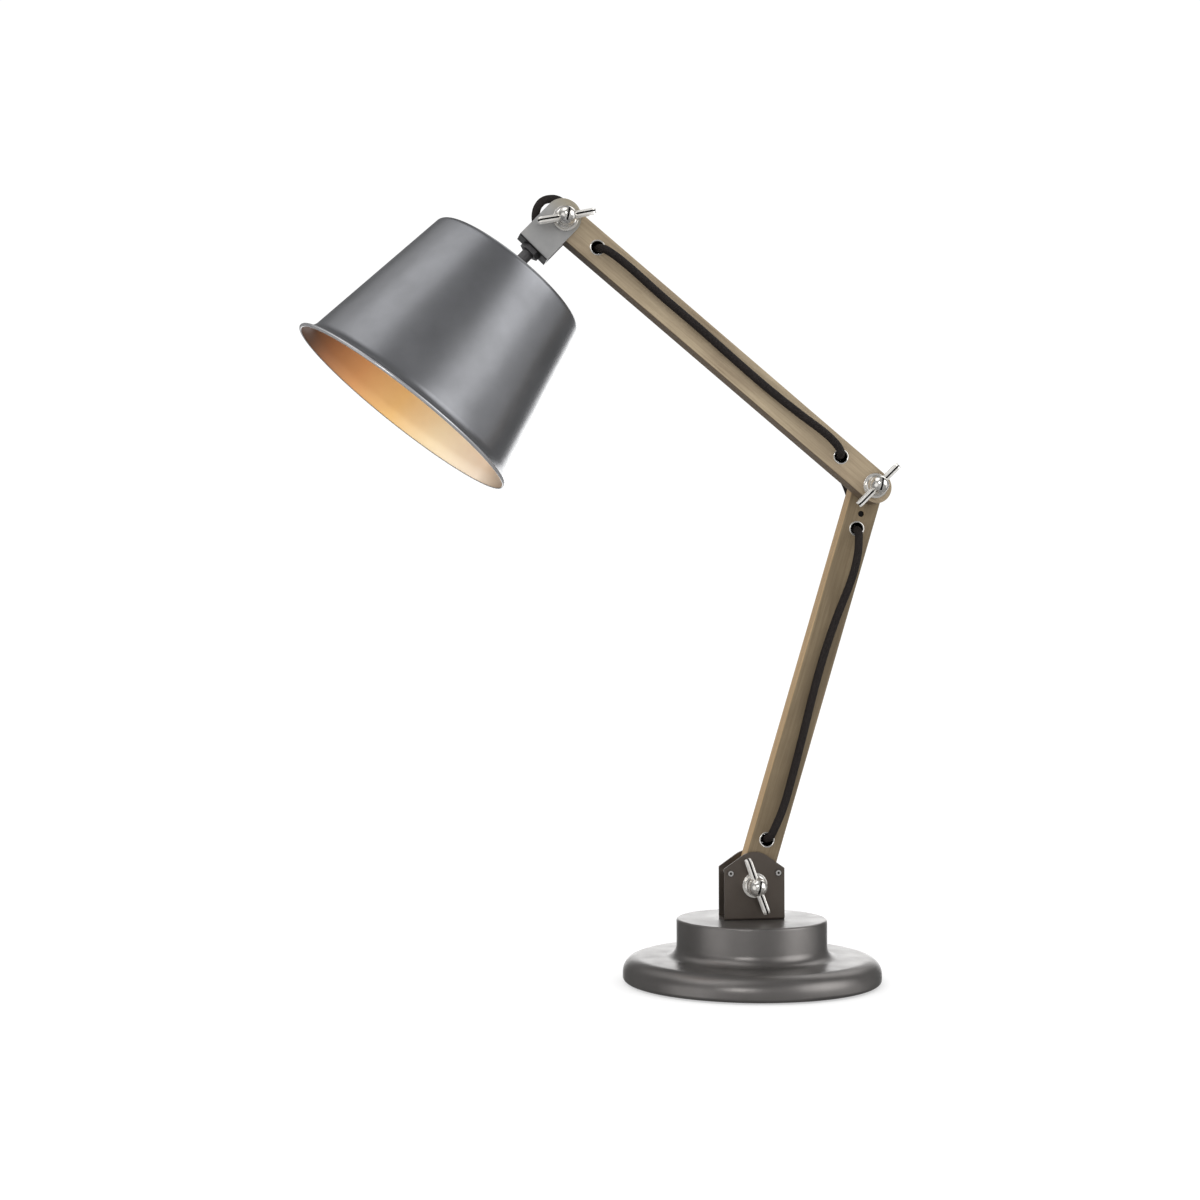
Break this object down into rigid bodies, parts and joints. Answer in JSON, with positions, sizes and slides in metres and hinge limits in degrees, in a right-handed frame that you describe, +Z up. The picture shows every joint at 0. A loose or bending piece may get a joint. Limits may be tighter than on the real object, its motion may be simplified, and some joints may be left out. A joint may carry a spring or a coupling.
{
  "type": "desk lamp",
  "caption": "Architect desk lamp: weighted round base, two wooden arms on wing-nut friction joints, and a conical metal shade on a tilting bracket.",
  "frame": {"origin": "centre of the foot pad's underside, on the surface that the lamp stands on", "axes": "+Z up through the base's centre; the three arm pivots turn about Y; the elbow reaches towards +X, the shade hangs towards -X and the wing nuts face -Y"},
  "size_m": [0.4137, 0.1945, 0.5469],
  "materials": {
    "base_metal": "satin",
    "ballast_iron": "matte",
    "plate_steel": "matte",
    "foot_rubber": "matte",
    "bracket_metal": "satin",
    "head_bracket_steel": "satin",
    "nickel": "polished",
    "screw_steel": "satin",
    "dark_steel": "satin",
    "fibre": "matte",
    "arm_wood": "satin",
    "cable_cover": "matte",
    "grommet_rubber": "matte",
    "terminal_plastic": "matte",
    "shade_metal": "satin",
    "holder_plastic": "satin",
    "holder_core": "matte",
    "contact_brass": "satin",
    "bulb_glass": "gloss"
  },
  "bodies": {
    "root": {"base_shell": "base_metal", "ballast_weight": "ballast_iron", "base_plate": "plate_steel", "base_plate_screws": "screw_steel", "foot_pad": "foot_rubber", "base_bracket": "bracket_metal", "bracket_screws": "screw_steel", "bracket_nuts": "screw_steel", "centre_bolt": "screw_steel", "centre_nut": "screw_steel", "base_cable_grommet": "grommet_rubber", "mains_inlet_bush": "grommet_rubber", "terminal_block": "terminal_plastic", "stop_pins": "screw_steel", "base_pivot_bolt": "nickel", "base_front_washer": "nickel", "base_friction_washers": "fibre", "cable_in_base": "cable_cover", "cable_base_loop": "cable_cover"},
    "base_wing_nut": {"base_wing_nut": "nickel"},
    "lower_arm": {"lower_arm_bar": "arm_wood", "lower_arm_eyelets": "nickel", "elbow_stop_screw": "screw_steel", "cable_lower_arm": "cable_cover", "elbow_bolt": "nickel", "elbow_rear_washer": "nickel", "elbow_friction_washer": "fibre", "cable_elbow_loop": "cable_cover"},
    "elbow_wing_nut": {"elbow_wing_nut": "nickel"},
    "upper_arm": {"upper_arm_bar": "arm_wood", "upper_arm_eyelets": "nickel", "elbow_front_washer": "nickel", "cable_upper_arm": "cable_cover", "cable_head_loop": "cable_cover"},
    "head": {"head_bracket": "head_bracket_steel", "head_pivot_bolt": "nickel", "head_front_washer": "nickel", "head_friction_washers": "fibre", "stem_tube": "dark_steel", "cable_in_stem": "cable_cover", "stem_top_nut": "screw_steel", "stem_lock_nut": "dark_steel", "shade_lock_nut": "screw_steel", "shade": "shade_metal", "lampholder_body": "holder_plastic", "lampholder_insert": "holder_core", "lampholder_sleeve": "contact_brass", "centre_contact": "contact_brass", "bulb_cap": "contact_brass", "bulb_glass": "bulb_glass"},
    "head_wing_nut": {"head_wing_nut": "nickel"}
  },
  "joints": [
    {"name": "base_tilt", "type": "hinge", "parent": "root", "child": "lower_arm", "pos_m": [0, 0, 0.068], "axis": [0, 1, 0], "range_deg": [-36.3, 2.6], "deforming": ["cable_base_loop"]},
    {"name": "elbow", "type": "hinge", "parent": "lower_arm", "child": "upper_arm", "pos_m": [0.08421, 0, 0.34603], "axis": [0, 1, 0], "range_deg": [-40, 55], "deforming": ["cable_elbow_loop"]},
    {"name": "head_tilt", "type": "hinge", "parent": "upper_arm", "child": "head", "pos_m": [-0.13526, -0.015, 0.52534], "axis": [0, 1, 0], "range_deg": [-30, 50], "deforming": ["cable_head_loop"]},
    {"name": "base_wing_turn", "type": "hinge", "parent": "root", "child": "base_wing_nut", "pos_m": [0, -0.0156, 0.068], "axis": [0, -1, 0], "range_deg": [0, 180]},
    {"name": "elbow_wing_turn", "type": "hinge", "parent": "lower_arm", "child": "elbow_wing_nut", "pos_m": [0.08421, -0.0286, 0.34603], "axis": [0, -1, 0], "range_deg": [0, 180]},
    {"name": "head_wing_turn", "type": "hinge", "parent": "head", "child": "head_wing_nut", "pos_m": [-0.13526, -0.0306, 0.52534], "axis": [0, -1, 0], "range_deg": [0, 180]}
  ]
}
